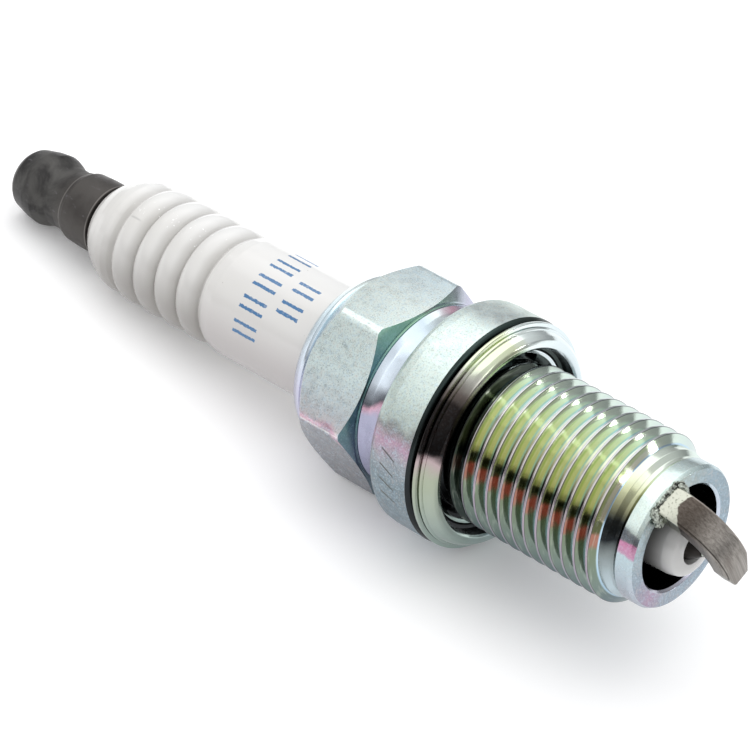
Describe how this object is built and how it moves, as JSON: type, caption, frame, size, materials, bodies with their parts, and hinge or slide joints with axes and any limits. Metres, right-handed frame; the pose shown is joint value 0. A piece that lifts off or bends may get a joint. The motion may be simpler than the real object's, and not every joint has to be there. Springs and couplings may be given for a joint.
{
  "type": "spark plug",
  "caption": "Long-reach resistor spark plug with a ribbed insulator, solid terminal, hexagon shell, loose folded gasket and fine-wire tip.",
  "frame": {"origin": "on the plug's axis, in the plane of the shell's sealing seat", "axes": "+X along the plug's axis towards the firing end, +Z square to a wrench flat"},
  "size_m": [0.0776, 0.0196, 0.0196],
  "materials": {
    "terminal_steel": "dark oxidised matt steel",
    "insulator_glaze": "glossy white glaze with printed blue bars",
    "seal_glass": "dark fused glass and metal",
    "resistor_mix": "dark fused resistor mix",
    "electrode_nickel": "satin nickel alloy",
    "electrode_copper": "plain copper",
    "precious_metal": "plain iridium and platinum alloy",
    "weld_metal": "rough upset weld",
    "shell_plating": "bright iridescent zinc plating",
    "packing_steel": "plain steel",
    "talc": "pressed talc powder",
    "gasket_plating": "bright plated folded sheet",
    "strap_nickel": "satin brownish grey nickel alloy"
  },
  "bodies": {
    "plug": {"terminal_stud": "terminal_steel", "insulator": "insulator_glaze", "upper_glass_seal": "seal_glass", "resistor_core": "resistor_mix", "lower_glass_seal": "seal_glass", "centre_electrode": "electrode_nickel", "centre_electrode_core": "electrode_copper", "iridium_tip": "precious_metal", "tip_weld": "weld_metal", "shell": "shell_plating", "upper_packing_ring": "packing_steel", "talc_packing": "talc", "lower_packing_ring": "packing_steel", "seat_packing_washer": "packing_steel", "ground_electrode": "strap_nickel", "ground_electrode_pad": "precious_metal", "strap_weld_front": "weld_metal", "strap_weld_rear": "weld_metal"},
    "gasket_ring": {"gasket": "gasket_plating"}
  },
  "joints": [
    {"name": "gasket_slide", "type": "slide", "parent": "plug", "child": "gasket_ring", "axis": [1, 0, 0], "range_m": [-0.00025, 0.0005]}
  ]
}
